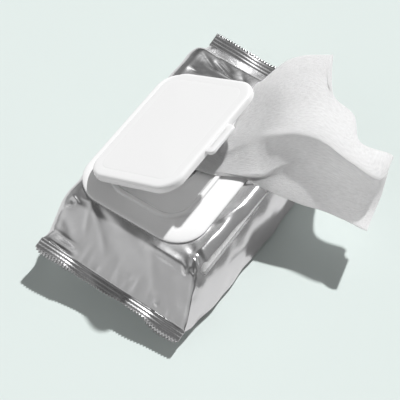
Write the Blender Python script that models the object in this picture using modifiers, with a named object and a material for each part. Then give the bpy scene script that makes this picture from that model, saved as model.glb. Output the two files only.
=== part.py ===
"""Flow-wrapped pack of wet wipes with a flip-top dispenser, metres, +Z up.

The pack lies on its back film. +X runs along the pack from one end seal to the other, +Y points to
the side that carries the lid's hinge, and the origin is on the underside's middle. The lid stands part
open, and one wipe is drawn out over the dispenser's front rim.
"""

import math

import bmesh
import bpy
from mathutils import Vector

MM = 0.001
GAP = 0.0003

# Film pouch
POUCH_WALL = 0.5 * MM
POUCH_HEIGHT = 38.0 * MM
POUCH_HALF_WIDTH = 54.0 * MM
SEAL_HALF_WIDTH = 51.5 * MM
SEAL_THICKNESS = 0.9 * MM
SEAL_HEIGHTS = (14.8 * MM, 16.8 * MM)
NEAR_SEAL_X = (-97.5 * MM, -89.0 * MM)
FAR_SEAL_X = (87.0 * MM, 98.0 * MM)
FIN_SIZE = (136 * MM, 12 * MM, 0.45 * MM)
FIN_CENTRE_Y = 4.5 * MM

# Stations along the pouch: x, half width, underside, top, height gained from -Y edge to +Y edge
POUCH_STATIONS = [
    (NEAR_SEAL_X[0], SEAL_HALF_WIDTH, SEAL_HEIGHTS[0], SEAL_HEIGHTS[0] + SEAL_THICKNESS, 5.0 * MM),
    (NEAR_SEAL_X[1], SEAL_HALF_WIDTH, SEAL_HEIGHTS[0], SEAL_HEIGHTS[0] + SEAL_THICKNESS, 5.0 * MM),
    (-85.5 * MM, 51.5 * MM, 7.5 * MM, 19.5 * MM, 3.6 * MM),
    (-79.0 * MM, 51.8 * MM, 1.6 * MM, 26.5 * MM, 1.4 * MM),
    (-72.0 * MM, 52.4 * MM, 0.0 * MM, 32.5 * MM, 0.0),
    (-65.0 * MM, 53.0 * MM, 0.0 * MM, 37.4 * MM, 0.0),
    (-58.0 * MM, 53.6 * MM, 0.0 * MM, POUCH_HEIGHT, 0.0),
    (-30.0 * MM, POUCH_HALF_WIDTH, 0.0 * MM, POUCH_HEIGHT, 0.0),
    (0.0 * MM, 54.6 * MM, 0.0 * MM, POUCH_HEIGHT, 0.0),
    (30.0 * MM, POUCH_HALF_WIDTH, 0.0 * MM, POUCH_HEIGHT, 0.0),
    (62.0 * MM, 53.6 * MM, 0.0 * MM, POUCH_HEIGHT, 0.0),
    (71.0 * MM, 53.0 * MM, 0.0 * MM, 37.4 * MM, 0.0),
    (77.0 * MM, 52.4 * MM, 1.6 * MM, 31.5 * MM, 0.5 * MM),
    (83.0 * MM, 51.8 * MM, 8.5 * MM, 24.5 * MM, 2.5 * MM),
    (FAR_SEAL_X[0], SEAL_HALF_WIDTH, SEAL_HEIGHTS[1], SEAL_HEIGHTS[1] + SEAL_THICKNESS, 4.2 * MM),
    (FAR_SEAL_X[1], SEAL_HALF_WIDTH, SEAL_HEIGHTS[1], SEAL_HEIGHTS[1] + SEAL_THICKNESS, 4.2 * MM),
]
BODY_CORNER = 9.0 * MM
CORNER_STEPS = 5
CAVITY_ENDS = (-84.5 * MM, 82.0 * MM)

# Dispenser, centred at DISPENSER and stuck on the top film
DISPENSER = Vector((-4.8 * MM, 9.8 * MM, 0.0))
BASE_SIZE = (110 * MM, 85 * MM)
BASE_CORNER = 20 * MM
BASE_BOTTOM = POUCH_HEIGHT + GAP
FLANGE_TOP = 40.6 * MM
RING_SIZE = (87 * MM, 58 * MM)
RING_CORNER = 17 * MM
RING_TOP = 42.2 * MM
RING_WIDTH = 3.0 * MM
DISH_TOP = 40.2 * MM
OPENING_SIZE = (60 * MM, 30 * MM)
OPENING_LIP = 1.2 * MM

# Lid, drawn shut around its hinge axis and then opened
LID_SIZE = (93 * MM, 71 * MM)
LID_CORNER = 14 * MM
LID_HEIGHT = 5.0 * MM
LID_WALL = 1.3 * MM
LID_EDGE_RADIUS = 2.2 * MM
LID_CROWN = 0.5 * MM
LID_OPEN_DEG = 28.0
TAB_SIZE = (24 * MM, 8 * MM, 2.2 * MM)
TAB_OUT = 5.6 * MM
HINGE_Y = LID_SIZE[1] / 2
HINGE_Z = 41.5 * MM
HINGE_LENGTH = 48 * MM
WEB_THICKNESS = 0.4 * MM
WEB_REACH = 1.6 * MM
OUTLINE_STEPS = 8

# Wipes
WIPE_LENGTH = 190 * MM
WIPE_WIDTH = 130 * MM
STACKED_WIPES = 29
LEAF_THICKNESS = 0.30 * MM
LEAF_PITCH = 0.565 * MM
STACK_BOTTOM = 1.6 * MM
STACK_CENTRE_X = 3.0 * MM
LEAF_SPAN = 3
BEND_STEPS = 6
PULLED_THICKNESS = 0.6 * MM

WHITE_PLASTIC = ((0.90, 0.90, 0.90, 1), 0.22, 0.0)
SILVER_FILM = ((0.62, 0.62, 0.63, 1), 0.25, 1.0)
WIPE_CLOTH = ((0.88, 0.88, 0.88, 1), 0.85, 0.0)

# The drawn wipe: rows from inside the opening out to the free edge, each from its near side to its far
# side (x, y, z in mm from the pack's origin)
PULLED_ROWS = [
    [(-12, 8, 37.0), (-3, 10, 37.2), (7, 9, 37.0), (15, 10, 37.2)],
    [(-12, 2, 40.6), (-2, 3, 41.0), (8, 3, 41.0), (17, 5, 40.8)],
    [(-11, -7, 42.8), (2, -8, 43.0), (17, -5, 43.0), (30, 1, 42.8)],
    [(-6, -19, 43.0), (10, -18, 43.2), (30, -12, 43.0), (47, -2, 42.8)],
    [(0, -32, 42.2), (20, -30, 44.0), (44, -21, 43.9), (67, -4, 43.4)],
    [(4, -50, 39.6), (27, -50, 48.0), (56, -33, 48.5), (84, -10, 47.0)],
    [(11, -78, 34.0), (36, -76, 42.0), (64, -52, 46.0), (96, -19, 50.0)],
    [(18, -106, 29.0), (46, -100, 34.0), (70, -68, 43.0), (104, -30, 51.0)],
]
PULLED_STEPS = (3, 4)


def material(name, finish):
    """A Principled material with one colour, roughness and metallic value."""
    made = bpy.data.materials.new(name)
    made.use_nodes = True
    shader = made.node_tree.nodes["Principled BSDF"]
    colour, roughness, metallic = finish
    shader.inputs["Base Color"].default_value = colour
    shader.inputs["Roughness"].default_value = roughness
    shader.inputs["Metallic"].default_value = metallic
    return made


def collection(name):
    """A new collection in the scene."""
    made = bpy.data.collections.new(name)
    bpy.context.scene.collection.children.link(made)
    return made


def add_object(name, mesh, group, finish=None):
    """An object for the mesh, in its collection."""
    mesh.update()
    made = bpy.data.objects.new(name, mesh)
    group.objects.link(made)
    if finish is not None:
        mesh.materials.append(finish)
        mesh.shade_smooth()
        mesh.set_sharp_from_angle(angle=math.radians(35))
    return made


def add_cutter(name, mesh, group):
    """A helper object that is never built itself."""
    made = add_object(name, mesh, group)
    made.hide_render = True
    made.display_type = "WIRE"
    return made


def boolean(target, tool, operation):
    """Cuts or joins with the exact solver."""
    made = target.modifiers.new(f"{operation}_{tool.name}".lower(), "BOOLEAN")
    made.operation = operation
    made.solver = "EXACT"
    made.object = tool
    return made


def arc(centre, radius, start_deg, end_deg, steps):
    """Points along a circular arc, both ends included."""
    points = []
    for step in range(steps + 1):
        angle = math.radians(start_deg + (end_deg - start_deg) * step / steps)
        points.append((centre[0] + radius * math.cos(angle), centre[1] + radius * math.sin(angle)))
    return points


def rounded_outline(length, width, corner, steps=OUTLINE_STEPS):
    """Counter-clockwise rounded rectangle centred on the origin."""
    half_x = length / 2 - corner
    half_y = width / 2 - corner
    points = []
    for centre, start in (
        ((half_x, half_y), 0),
        ((-half_x, half_y), 90),
        ((-half_x, -half_y), 180),
        ((half_x, -half_y), 270),
    ):
        points += arc(centre, corner, start, start + 90, steps)
    return points


def ellipse_outline(length, width, steps=OUTLINE_STEPS):
    """Counter-clockwise ellipse with as many points as a rounded outline, quarter for quarter."""
    points = []
    for start in (0, 90, 180, 270):
        for step in range(steps + 1):
            # the quarter ends stay a little apart, as a rounded outline's straight sides are
            angle = math.radians(start + 2.0 + 86.0 * step / steps)
            points.append((length / 2 * math.cos(angle), width / 2 * math.sin(angle)))
    return points


def loft(name, rings, closed_ends=False, closed_loop=False):
    """A mesh through rings of equally many points; the ends are capped, or the last ring meets the first."""
    mesh = bpy.data.meshes.new(name)
    shape = bmesh.new()
    loops = [[shape.verts.new(point) for point in ring] for ring in rings]
    pairs = list(zip(loops, loops[1:]))
    if closed_loop:
        pairs.append((loops[-1], loops[0]))
    for lower, upper in pairs:
        count = len(lower)
        for index in range(count):
            after = (index + 1) % count
            shape.faces.new((lower[index], lower[after], upper[after], upper[index]))
    if closed_ends:
        shape.faces.new(loops[0])
        shape.faces.new(loops[-1])
    bmesh.ops.recalc_face_normals(shape, faces=shape.faces)
    shape.to_mesh(mesh)
    shape.free()
    return mesh


def lifted(outline, height, origin=Vector((0, 0, 0))):
    """The flat outline as points at a height, moved to an origin."""
    return [origin + Vector((x, y, height)) for x, y in outline]


# ---------------------------------------------------------------- pouch


def pouch_ring(station, inset):
    """One cross-section of the pouch: a rounded rectangle, with a shallow channel for the back seal."""
    x, half_width, bottom, top, rise = station
    half = half_width - inset
    low = bottom + inset
    high = top - inset
    radius = min(BODY_CORNER - inset, (high - low) * 0.48)
    channel = FIN_SIZE[2]
    channel_low = FIN_CENTRE_Y - FIN_SIZE[1] / 2 - 2 * MM
    channel_high = FIN_CENTRE_Y + FIN_SIZE[1] / 2 + 2 * MM
    flat = half - radius
    section = arc((flat, low + radius), radius, -90, 0, CORNER_STEPS)
    section += arc((flat, high - radius), radius, 0, 90, CORNER_STEPS)
    section += [(flat * share, high) for share in (0.5, 0.0, -0.5)]
    section += arc((-flat, high - radius), radius, 90, 180, CORNER_STEPS)
    section += arc((-flat, low + radius), radius, 180, 270, CORNER_STEPS)
    depth = channel if high - low > 4 * MM else 0.0
    section += [
        (channel_low - 1 * MM, low),
        (channel_low, low + depth),
        (channel_high, low + depth),
        (channel_high + 1 * MM, low),
    ]
    return [Vector((x, y, z + rise * y / half_width)) for y, z in section]


def make_pouch(group, cutters, finish):
    """Film pouch with both end seals, hollow, open under the dispenser, with its back seal's flap."""
    outer = [pouch_ring(station, 0.0) for station in POUCH_STATIONS]
    pouch = add_object("pouch", loft("pouch", outer, closed_ends=True), group, finish)
    inner_stations = [s for s in POUCH_STATIONS if CAVITY_ENDS[0] - 2 * MM < s[0] < CAVITY_ENDS[1] + 2 * MM]
    inner = [pouch_ring(station, POUCH_WALL) for station in inner_stations]
    cavity = add_cutter("pouch_cavity", loft("pouch_cavity", inner, closed_ends=True), cutters)
    mouth_outline = ellipse_outline(OPENING_SIZE[0] + 4 * MM, OPENING_SIZE[1] + 4 * MM)
    mouth_rings = [
        lifted(mouth_outline, POUCH_HEIGHT - 3 * MM, DISPENSER),
        lifted(mouth_outline, POUCH_HEIGHT + 3 * MM, DISPENSER),
    ]
    mouth = add_cutter("pouch_mouth", loft("pouch_mouth", mouth_rings, closed_ends=True), cutters)
    fin_mesh = bpy.data.meshes.new("back_seal")
    shape = bmesh.new()
    bmesh.ops.create_cube(shape, size=1.0)
    bmesh.ops.scale(shape, verts=shape.verts, vec=(FIN_SIZE[0], FIN_SIZE[1], FIN_SIZE[2] + 0.2 * MM))
    shape.to_mesh(fin_mesh)
    shape.free()
    fin = add_cutter("back_seal", fin_mesh, cutters)
    fin.location = (1 * MM, FIN_CENTRE_Y, FIN_SIZE[2] / 2 + 0.1 * MM)
    boolean(pouch, cavity, "DIFFERENCE")
    boolean(pouch, mouth, "DIFFERENCE")
    boolean(pouch, fin, "UNION")
    return pouch


# ---------------------------------------------------------------- dispenser


def make_base(group, finish):
    """Frame stuck on the film: a rounded flange, a raised bead and a dished floor with an oval opening."""
    length, width = BASE_SIZE
    ring_length, ring_width = RING_SIZE

    def flange(inset, height):
        outline = rounded_outline(length - 2 * inset, width - 2 * inset, BASE_CORNER - inset)
        return lifted(outline, height, DISPENSER)

    def bead(inset, height):
        outline = rounded_outline(ring_length - 2 * inset, ring_width - 2 * inset, RING_CORNER - inset)
        return lifted(outline, height, DISPENSER)

    def opening(grow, height):
        outline = ellipse_outline(OPENING_SIZE[0] + 2 * grow, OPENING_SIZE[1] + 2 * grow)
        return lifted(outline, height, DISPENSER)

    rings = [
        flange(1.6 * MM, BASE_BOTTOM),
        flange(0.0, BASE_BOTTOM),
        flange(0.0, BASE_BOTTOM + 0.5 * MM),
        flange(0.5 * MM, BASE_BOTTOM + 1.1 * MM),
        flange(2.2 * MM, BASE_BOTTOM + 1.6 * MM),
        flange(6.5 * MM, FLANGE_TOP - 0.2 * MM),
        flange(8.5 * MM, FLANGE_TOP),
        bead(-0.8 * MM, FLANGE_TOP),
        bead(0.0, RING_TOP - 0.6 * MM),
        bead(0.8 * MM, RING_TOP),
        bead(1.8 * MM, RING_TOP),
        bead(RING_WIDTH, RING_TOP - 0.8 * MM),
        bead(RING_WIDTH + 2.5 * MM, DISH_TOP + 0.3 * MM),
        opening(OPENING_LIP + 1.5 * MM, DISH_TOP),
        opening(OPENING_LIP, DISH_TOP + 0.7 * MM),
        opening(0.0, DISH_TOP + 0.3 * MM),
        opening(0.0, BASE_BOTTOM),
        opening(5.0 * MM, BASE_BOTTOM),
    ]
    return add_object("dispenser_base", loft("dispenser_base", rings, closed_loop=True), group, finish)


def make_lid(group, cutters, finish, axis):
    """Lid as a shallow open tray with a thumb tab, its origin on the hinge axis."""
    length, width = LID_SIZE
    centre = Vector((0, -width / 2, 0))

    def shell(inset, height):
        corner = max(LID_CORNER - inset, 1 * MM)
        outline = rounded_outline(length - 2 * inset, width - 2 * inset, corner)
        return lifted(outline, height, centre)

    top = LID_HEIGHT
    ceiling = LID_HEIGHT - LID_WALL
    rings = [
        shell(28 * MM, ceiling + LID_CROWN),
        shell(LID_WALL + 2.0 * MM, ceiling),
        shell(LID_WALL + 0.4 * MM, ceiling - 0.8 * MM),
        shell(LID_WALL, 0.4 * MM),
        shell(LID_WALL * 0.7, 0.0),
        shell(LID_WALL * 0.3, 0.0),
        shell(0.0, 0.4 * MM),
        shell(0.0, top - LID_EDGE_RADIUS),
        shell(0.35 * MM, top - 1.1 * MM),
        shell(1.1 * MM, top - 0.35 * MM),
        shell(LID_EDGE_RADIUS, top),
        shell(6.6 * MM, top),
        shell(7.4 * MM, top + 0.2 * MM),
        shell(28 * MM, top + LID_CROWN),
    ]
    lid = add_object("lid", loft("lid", rings, closed_ends=True), group, finish)
    tab_mesh = bpy.data.meshes.new("thumb_tab")
    shape = bmesh.new()
    bmesh.ops.create_cube(shape, size=1.0)
    bmesh.ops.scale(shape, verts=shape.verts, vec=TAB_SIZE)
    upright = [edge for edge in shape.edges if abs(edge.verts[0].co.z - edge.verts[1].co.z) > MM]
    bmesh.ops.bevel(shape, geom=upright, offset=2.5 * MM, segments=4, affect="EDGES", profile=0.5)
    shape.to_mesh(tab_mesh)
    shape.free()
    tab = add_cutter("thumb_tab", tab_mesh, cutters)
    tab.location = (0, -width - TAB_OUT + TAB_SIZE[1] / 2, TAB_SIZE[2] / 2 + 1.2 * MM)
    tab.parent = axis
    lid.parent = axis
    boolean(lid, tab, "UNION")
    return lid


def make_hinge_web(group, finish):
    """Thin living hinge between the base's land and the lid's rear wall, at the hinge's middle stretch."""
    mesh = bpy.data.meshes.new("hinge_web")
    shape = bmesh.new()
    bmesh.ops.create_cube(shape, size=1.0)
    bmesh.ops.scale(shape, verts=shape.verts, vec=(HINGE_LENGTH, WEB_REACH, WEB_THICKNESS))
    shape.to_mesh(mesh)
    shape.free()
    web = add_object("hinge_web", mesh, group, finish)
    web.location = DISPENSER + Vector((0, HINGE_Y, FLANGE_TOP + GAP + WEB_THICKNESS / 2))
    return web


# ---------------------------------------------------------------- wipes


def leaf_section(low_layer, side):
    """Cross-section of one wipe folded once: two leaves joined by a round bend on the side given."""
    half = WIPE_LENGTH / 4
    lower = STACK_BOTTOM + low_layer * LEAF_PITCH
    rise = LEAF_SPAN * LEAF_PITCH
    inner = (rise - LEAF_THICKNESS) / 2
    outer = (rise + LEAF_THICKNESS) / 2
    bend = half - outer
    middle = lower + (rise + LEAF_THICKNESS) / 2
    free = -half + 1.0 * MM
    points = [(free, lower)]
    points += arc((bend, middle), outer, -90, 90, BEND_STEPS)
    points += [(free, lower + rise + LEAF_THICKNESS), (free, lower + rise)]
    points += arc((bend, middle), inner, 90, -90, BEND_STEPS)
    points += [(free, lower + LEAF_THICKNESS)]
    return [(side * y, z) for y, z in points]


def make_stack(group, finish):
    """The wipes still in the pack, folded in half and laid into each other by turns from either side."""
    for number in range(STACKED_WIPES):
        side = 1 if number % 2 == 0 else -1
        low_layer = 2 * (STACKED_WIPES - 1 - number)
        section = leaf_section(low_layer, side)
        rings = [
            [Vector((STACK_CENTRE_X + end * WIPE_WIDTH / 2, y, z)) for y, z in section]
            for end in (-1, 1)
        ]
        name = f"folded_wipe_{number + 1:02d}"
        add_object(name, loft(name, rings, closed_ends=True), group, finish)


def spline(points, steps):
    """Points along a smooth Catmull-Rom curve through the points given."""
    padded = [points[0] * 2 - points[1]] + points + [points[-1] * 2 - points[-2]]
    out = []
    for index in range(len(points) - 1):
        before, start, end, after = padded[index : index + 4]
        for step in range(steps):
            t = step / steps
            out.append(
                0.5
                * (
                    2 * start
                    + (end - before) * t
                    + (2 * before - 5 * start + 4 * end - after) * t**2
                    + (3 * start - before - 3 * end + after) * t**3
                )
            )
    out.append(points[-1])
    return out


def make_pulled_wipe(group, finish):
    """The wipe drawn out: a thin sheet that leaves the opening in a bunch and fans out past the front."""
    along, across = PULLED_STEPS
    rows = [spline([Vector(point) * MM for point in row], across) for row in PULLED_ROWS]
    columns = [spline(list(column), along) for column in zip(*rows)]
    mesh = bpy.data.meshes.new("pulled_wipe")
    shape = bmesh.new()
    grid = [[shape.verts.new(point) for point in column] for column in columns]
    for left, right in zip(grid, grid[1:]):
        for index in range(len(left) - 1):
            shape.faces.new((left[index], left[index + 1], right[index + 1], right[index]))
    shape.to_mesh(mesh)
    shape.free()
    wipe = add_object("pulled_wipe", mesh, group, finish)
    wall = wipe.modifiers.new("thickness", "SOLIDIFY")
    wall.thickness = PULLED_THICKNESS
    wall.offset = 0.0
    return wipe


def main():
    """Builds every piece of the pack."""
    for old in list(bpy.data.objects):
        bpy.data.objects.remove(old, do_unlink=True)
    group = collection("wet_wipes_pack")
    cutters = collection("cutters")
    plastic = material("white_plastic", WHITE_PLASTIC)
    film = material("silver_film", SILVER_FILM)
    cloth = material("wipe_cloth", WIPE_CLOTH)

    axis = bpy.data.objects.new("lid_axis", None)
    group.objects.link(axis)
    axis.location = DISPENSER + Vector((0, HINGE_Y, HINGE_Z))
    axis.rotation_euler = (-math.radians(LID_OPEN_DEG), 0, 0)

    make_pouch(group, cutters, film)
    make_base(group, plastic)
    make_lid(group, cutters, plastic, axis)
    make_hinge_web(group, plastic)
    make_stack(group, cloth)
    make_pulled_wipe(group, cloth)


main()
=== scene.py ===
"""Looks for a flow-wrapped pack of wet wipes with a flip-top dispenser and one wipe drawn out.

Lengths inside the builders are millimetres in the pack's own frame: +X along the pack, +Y towards the
lid's hinge, +Z up from the floor. They become metres when a mesh is made.
"""

import logging
import math
from dataclasses import asdict, dataclass, fields
from enum import Enum

import bmesh
import bpy
import numpy as np
import numpy.typing as npt
from mathutils import Matrix, Vector


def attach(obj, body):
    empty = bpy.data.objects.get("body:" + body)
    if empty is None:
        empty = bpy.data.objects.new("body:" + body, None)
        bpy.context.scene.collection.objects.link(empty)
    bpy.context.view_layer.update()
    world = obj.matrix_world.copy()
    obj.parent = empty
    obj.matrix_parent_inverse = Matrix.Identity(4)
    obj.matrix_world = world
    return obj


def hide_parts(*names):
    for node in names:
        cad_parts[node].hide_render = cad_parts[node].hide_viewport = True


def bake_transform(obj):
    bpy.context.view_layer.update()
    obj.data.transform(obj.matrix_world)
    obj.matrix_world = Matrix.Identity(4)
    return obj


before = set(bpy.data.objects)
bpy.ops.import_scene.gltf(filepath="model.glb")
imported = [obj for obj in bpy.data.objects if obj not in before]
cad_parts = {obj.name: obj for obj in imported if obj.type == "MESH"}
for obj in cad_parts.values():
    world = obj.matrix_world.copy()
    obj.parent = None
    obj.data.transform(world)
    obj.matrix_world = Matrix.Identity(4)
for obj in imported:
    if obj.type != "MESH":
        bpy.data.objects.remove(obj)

LOG = logging.getLogger("wet_wipes_pack")
MM = 0.001
Array = npt.NDArray[np.float64]
Faces = npt.NDArray[np.int64]
Pair = tuple[float, float]
Triple = tuple[float, float, float]
Row = tuple[float, ...]
Colour = tuple[float, float, float, float]


class Body(Enum):
    """The two bodies that pieces ride on."""

    PACK = "pack"
    LID = "lid"


class Slot(Enum):
    """Names of the three material slots."""

    FILM = "silver_film"
    PLASTIC = "white_plastic"
    CLOTH = "wipe_cloth"


# ------------------------------------------------------------------ arrays and meshes


def smooth_curve(where: Array, stations: Array, values: Array) -> Array:
    """Interpolates with a monotone cubic: Hermite pieces whose slopes are the harmonic mean of both sides.

    Args:
        where: Places to evaluate.
        stations: Rising places where the value is known.
        values: The value at each station.

    Returns:
        The curve's value at each place.
    """
    steps = np.diff(stations)
    slopes = np.diff(values) / steps
    tangents = np.zeros(len(stations))
    same = slopes[:-1] * slopes[1:] > 0
    safe = np.where(same, slopes[:-1] + slopes[1:], 1.0)
    tangents[1:-1] = np.where(same, 2 * slopes[:-1] * slopes[1:] / safe, 0.0)
    tangents[0], tangents[-1] = slopes[0], slopes[-1]
    index = np.clip(np.searchsorted(stations, where) - 1, 0, len(steps) - 1)
    width = steps[index]
    t = np.clip((where - stations[index]) / width, 0.0, 1.0)
    start, end = values[index], values[index + 1]
    return (
        (2 * t**3 - 3 * t**2 + 1) * start
        + (t**3 - 2 * t**2 + t) * width * tangents[index]
        + (3 * t**2 - 2 * t**3) * end
        + (t**3 - t**2) * width * tangents[index + 1]
    )


def smoothstep(value: Array, low: float, high: float) -> Array:
    """Rises from 0 at low to 1 at high along 3t^2 - 2t^3."""
    t = np.clip((value - low) / (high - low), 0.0, 1.0)
    return t * t * (3 - 2 * t)


def catmull_rom(points: Array, count: int) -> Array:
    """Resamples rows of control points along a Catmull-Rom curve.

    Args:
        points: Control points, the curve running along the first axis.
        count: How many samples to return, evenly spaced in the curve's parameter.

    Returns:
        The samples, with the same trailing axes as the points.
    """
    padded = np.concatenate([2 * points[:1] - points[1:2], points, 2 * points[-1:] - points[-2:-1]])
    place = np.linspace(0, len(points) - 1, count)
    index = np.minimum(place.astype(int), len(points) - 2)
    t = (place - index).reshape((-1,) + (1,) * (points.ndim - 1))
    before, start, end, after = (padded[index + k] for k in range(4))
    return 0.5 * (
        2 * start
        + (end - before) * t
        + (2 * before - 5 * start + 4 * end - after) * t**2
        + (3 * start - before - 3 * end + after) * t**3
    )


def surface_normals(points: Array, wrap_columns: bool = False) -> Array:
    """Unit normals of a grid surface, the cross product of its two central differences.

    Args:
        points: Grid of points, rows by columns by three.
        wrap_columns: True where the last column meets the first.

    Returns:
        A normal for each point.
    """
    along = np.gradient(points, axis=0)
    if wrap_columns:
        across = (np.roll(points, -1, axis=1) - np.roll(points, 1, axis=1)) / 2
    else:
        across = np.gradient(points, axis=1)
    normal = np.cross(along, across)
    return normal / np.maximum(np.linalg.norm(normal, axis=-1, keepdims=True), 1e-9)


def grid_faces(rows: int, columns: int, wrap_columns: bool = False, start: int = 0) -> Faces:
    """Quads of a grid whose vertices are numbered row by row.

    Args:
        rows: Rows of vertices.
        columns: Vertices in a row.
        wrap_columns: True where the last column meets the first.
        start: Number of the grid's first vertex.

    Returns:
        Four vertex numbers for each quad.
    """
    r = np.arange(rows - 1)[:, None]
    c = np.arange(columns if wrap_columns else columns - 1)[None, :]
    after = (c + 1) % columns
    quads = np.stack(
        [r * columns + c, (r + 1) * columns + c, (r + 1) * columns + after, r * columns + after], axis=-1
    )
    return quads.reshape(-1, 4) + start


def rounded_outline(length: Array, width: Array, corner: Array, count: int) -> Array:
    """Rounded rectangles about the origin, every one with as many points and the same share of each side.

    The outline is four arcs joined by straight sides: each quarter turns its angle through a smoothed ramp,
    so that half of its points lie on the arc.

    Args:
        length: Size along X, one value for each outline.
        width: Size along Y, one value for each outline.
        corner: Corner radius, one value for each outline.
        count: Points in an outline, a multiple of four.

    Returns:
        Array of outlines, points and two coordinates.
    """
    quarter = count // 4
    share = (np.arange(quarter) + 0.5) / quarter
    turn = np.clip((share - 0.25) / 0.5, 0, 1) * math.pi / 2
    before = np.clip(1 - share / 0.25, 0, 1)
    beyond = np.clip((share - 0.75) / 0.25, 0, 1)
    half_x = (np.asarray(length) / 2 - corner)[..., None]
    half_y = (np.asarray(width) / 2 - corner)[..., None]
    radius = np.asarray(corner)[..., None]
    x = half_x * (1 - beyond) + radius * np.cos(turn)
    y = half_y * (1 - before) + radius * np.sin(turn)
    quarters = [(x, y), (-x[..., ::-1], y[..., ::-1]), (-x, -y), (x[..., ::-1], -y[..., ::-1])]
    return np.stack(
        [np.concatenate([q[0] for q in quarters], -1), np.concatenate([q[1] for q in quarters], -1)], axis=-1
    )


def spread_profile(profile: list[Pair], per_span: int) -> Array:
    """Adds points between a profile's corners, closer to each corner than to the middle of a span.

    Args:
        profile: Inset and height of each corner.
        per_span: Points for each span.

    Returns:
        Profile points, two coordinates each.
    """
    corners = np.array(profile, float)
    ease = (1 - np.cos(np.linspace(0, math.pi, per_span + 1)[:-1])) / 2
    spans = corners[:-1, None, :] + ease[None, :, None] * np.diff(corners, axis=0)[:, None, :]
    return np.concatenate([spans.reshape(-1, 2), corners[-1:]])


def outline_rings(size: Pair, corner: float, profile: Array, least: float, count: int) -> Array:
    """Rings of rounded rectangles, one for each point of a profile.

    Args:
        size: Length and width that the profile's insets are measured from.
        corner: Corner radius of that outline.
        profile: Inset and height of each ring.
        least: Smallest corner radius.
        count: Points in a ring.

    Returns:
        Rings by points by three.
    """
    inset, height = profile[:, 0], profile[:, 1]
    flat = rounded_outline(size[0] - 2 * inset, size[1] - 2 * inset, np.maximum(corner - inset, least), count)
    return np.concatenate([flat, np.broadcast_to(height[:, None, None], flat.shape[:2] + (1,))], -1)


def mesh_object(
    name: str,
    points: Array,
    faces: Faces,
    finish: bpy.types.Material,
    weld: float = 0.0,
    recalculate: bool = False,
) -> bpy.types.Object:
    """Puts points and quads into a new object at the origin.

    Args:
        name: Object name.
        points: Vertices in millimetres.
        faces: Four vertex numbers for each face.
        finish: Material of every face.
        weld: Merging distance in millimetres, or 0 to keep every vertex.
        recalculate: Turns all faces of a closed shape outwards.

    Returns:
        The linked object, smooth shaded.
    """
    mesh = bpy.data.meshes.new(name)
    mesh.from_pydata((points.reshape(-1, 3) * MM).tolist(), [], faces.tolist())
    if weld or recalculate:
        shape = bmesh.new()
        shape.from_mesh(mesh)
        if weld:
            bmesh.ops.remove_doubles(shape, verts=shape.verts, dist=weld * MM)
            bmesh.ops.dissolve_degenerate(shape, edges=shape.edges, dist=weld * MM / 10)
        if recalculate:
            bmesh.ops.recalc_face_normals(shape, faces=shape.faces)
        shape.to_mesh(mesh)
        shape.free()
    mesh.update(calc_edges=True)
    mesh.shade_smooth()
    mesh.materials.append(finish)
    made = bpy.data.objects.new(name, mesh)
    bpy.context.scene.collection.objects.link(made)
    return made


def wall(piece: bpy.types.Object, thickness: float, offset: float) -> None:
    """Gives a sheet its thickness with a Solidify modifier.

    Args:
        piece: The sheet.
        thickness: Thickness in millimetres.
        offset: -1 to thicken the sheet inwards, 0 to both sides.
    """
    made = piece.modifiers.new("wall", "SOLIDIFY")
    made.thickness = thickness * MM
    made.offset = offset
    made.use_even_offset = False


def closed_slab(top: Array, bottom: Array) -> tuple[Array, Faces]:
    """Joins two equal grids, one above the other, into a closed slab.

    Args:
        top: Upper grid, rows by columns by three.
        bottom: Lower grid of the same shape.

    Returns:
        Points and quads of the slab.
    """
    rows, columns = top.shape[:2]
    ring = np.concatenate([top, bottom[::-1]])
    faces = [grid_faces(2 * rows, columns)]
    last = (2 * rows - 1) * columns
    c = np.arange(columns - 1)
    faces.append(np.stack([last + c, c, c + 1, last + c + 1], -1))
    r = np.arange(rows - 1)
    for edge in (0, columns - 1):
        upper, upper_next = r * columns + edge, (r + 1) * columns + edge
        lower = (2 * rows - 1 - r) * columns + edge
        lower_next = (2 * rows - 2 - r) * columns + edge
        faces.append(np.stack([upper, lower, lower_next, upper_next], -1))
    return ring.reshape(-1, 3), np.concatenate(faces)


def tent(distance: Array, width: float) -> Array:
    """A pointed ridge's profile, exp(-|d| / width)."""
    return np.exp(-np.abs(distance) / width)


def bell(distance: Array, width: float) -> Array:
    """A soft ridge's profile, exp(-(d / width)^2)."""
    return np.exp(-((distance / width) ** 2))


class Fold(Enum):
    """Cross-section of a crease in the film."""

    SHARP = "sharp"
    SOFT = "soft"


@dataclass(frozen=True)
class Crease:
    """A crease along a straight stretch of film: it lifts the film along its normal, most at the middle line.

    The lift is height times the fold's profile of the distance to the stretch, tapered to nothing at both
    ends along a sine.
    """

    start: Triple
    end: Triple
    height: float
    width: float
    fold: Fold = Fold.SHARP

    def lift(self, points: Array) -> Array:
        """Works out the lift, which is height * taper * profile.

        Args:
            points: Places on the film or the cloth.

        Returns:
            Lift at each point in millimetres.
        """
        start, end = np.array(self.start, float), np.array(self.end, float)
        line = end - start
        share = ((points - start) @ line) / (line @ line)
        inside = np.clip(share, 0, 1)
        distance = np.linalg.norm(points - start - inside[..., None] * line, axis=-1)
        profile = tent if self.fold is Fold.SHARP else bell
        taper = 0.25 + 0.75 * np.sin(math.pi * inside) ** 0.6
        return self.height * taper * profile(distance, self.width)


# ------------------------------------------------------------------ finishes


@dataclass(frozen=True)
class Grain:
    """What a finish asks of the shared grain, whose sockets are named after these fields."""

    coarse_scale: float
    fine_scale: float
    fine_share: float
    roughness: float
    roughness_spread: float


def socket_name(field_name: str) -> str:
    """A field's name in a socket's style, with spaces and capitals."""
    return field_name.replace("_", " ").title()


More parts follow.
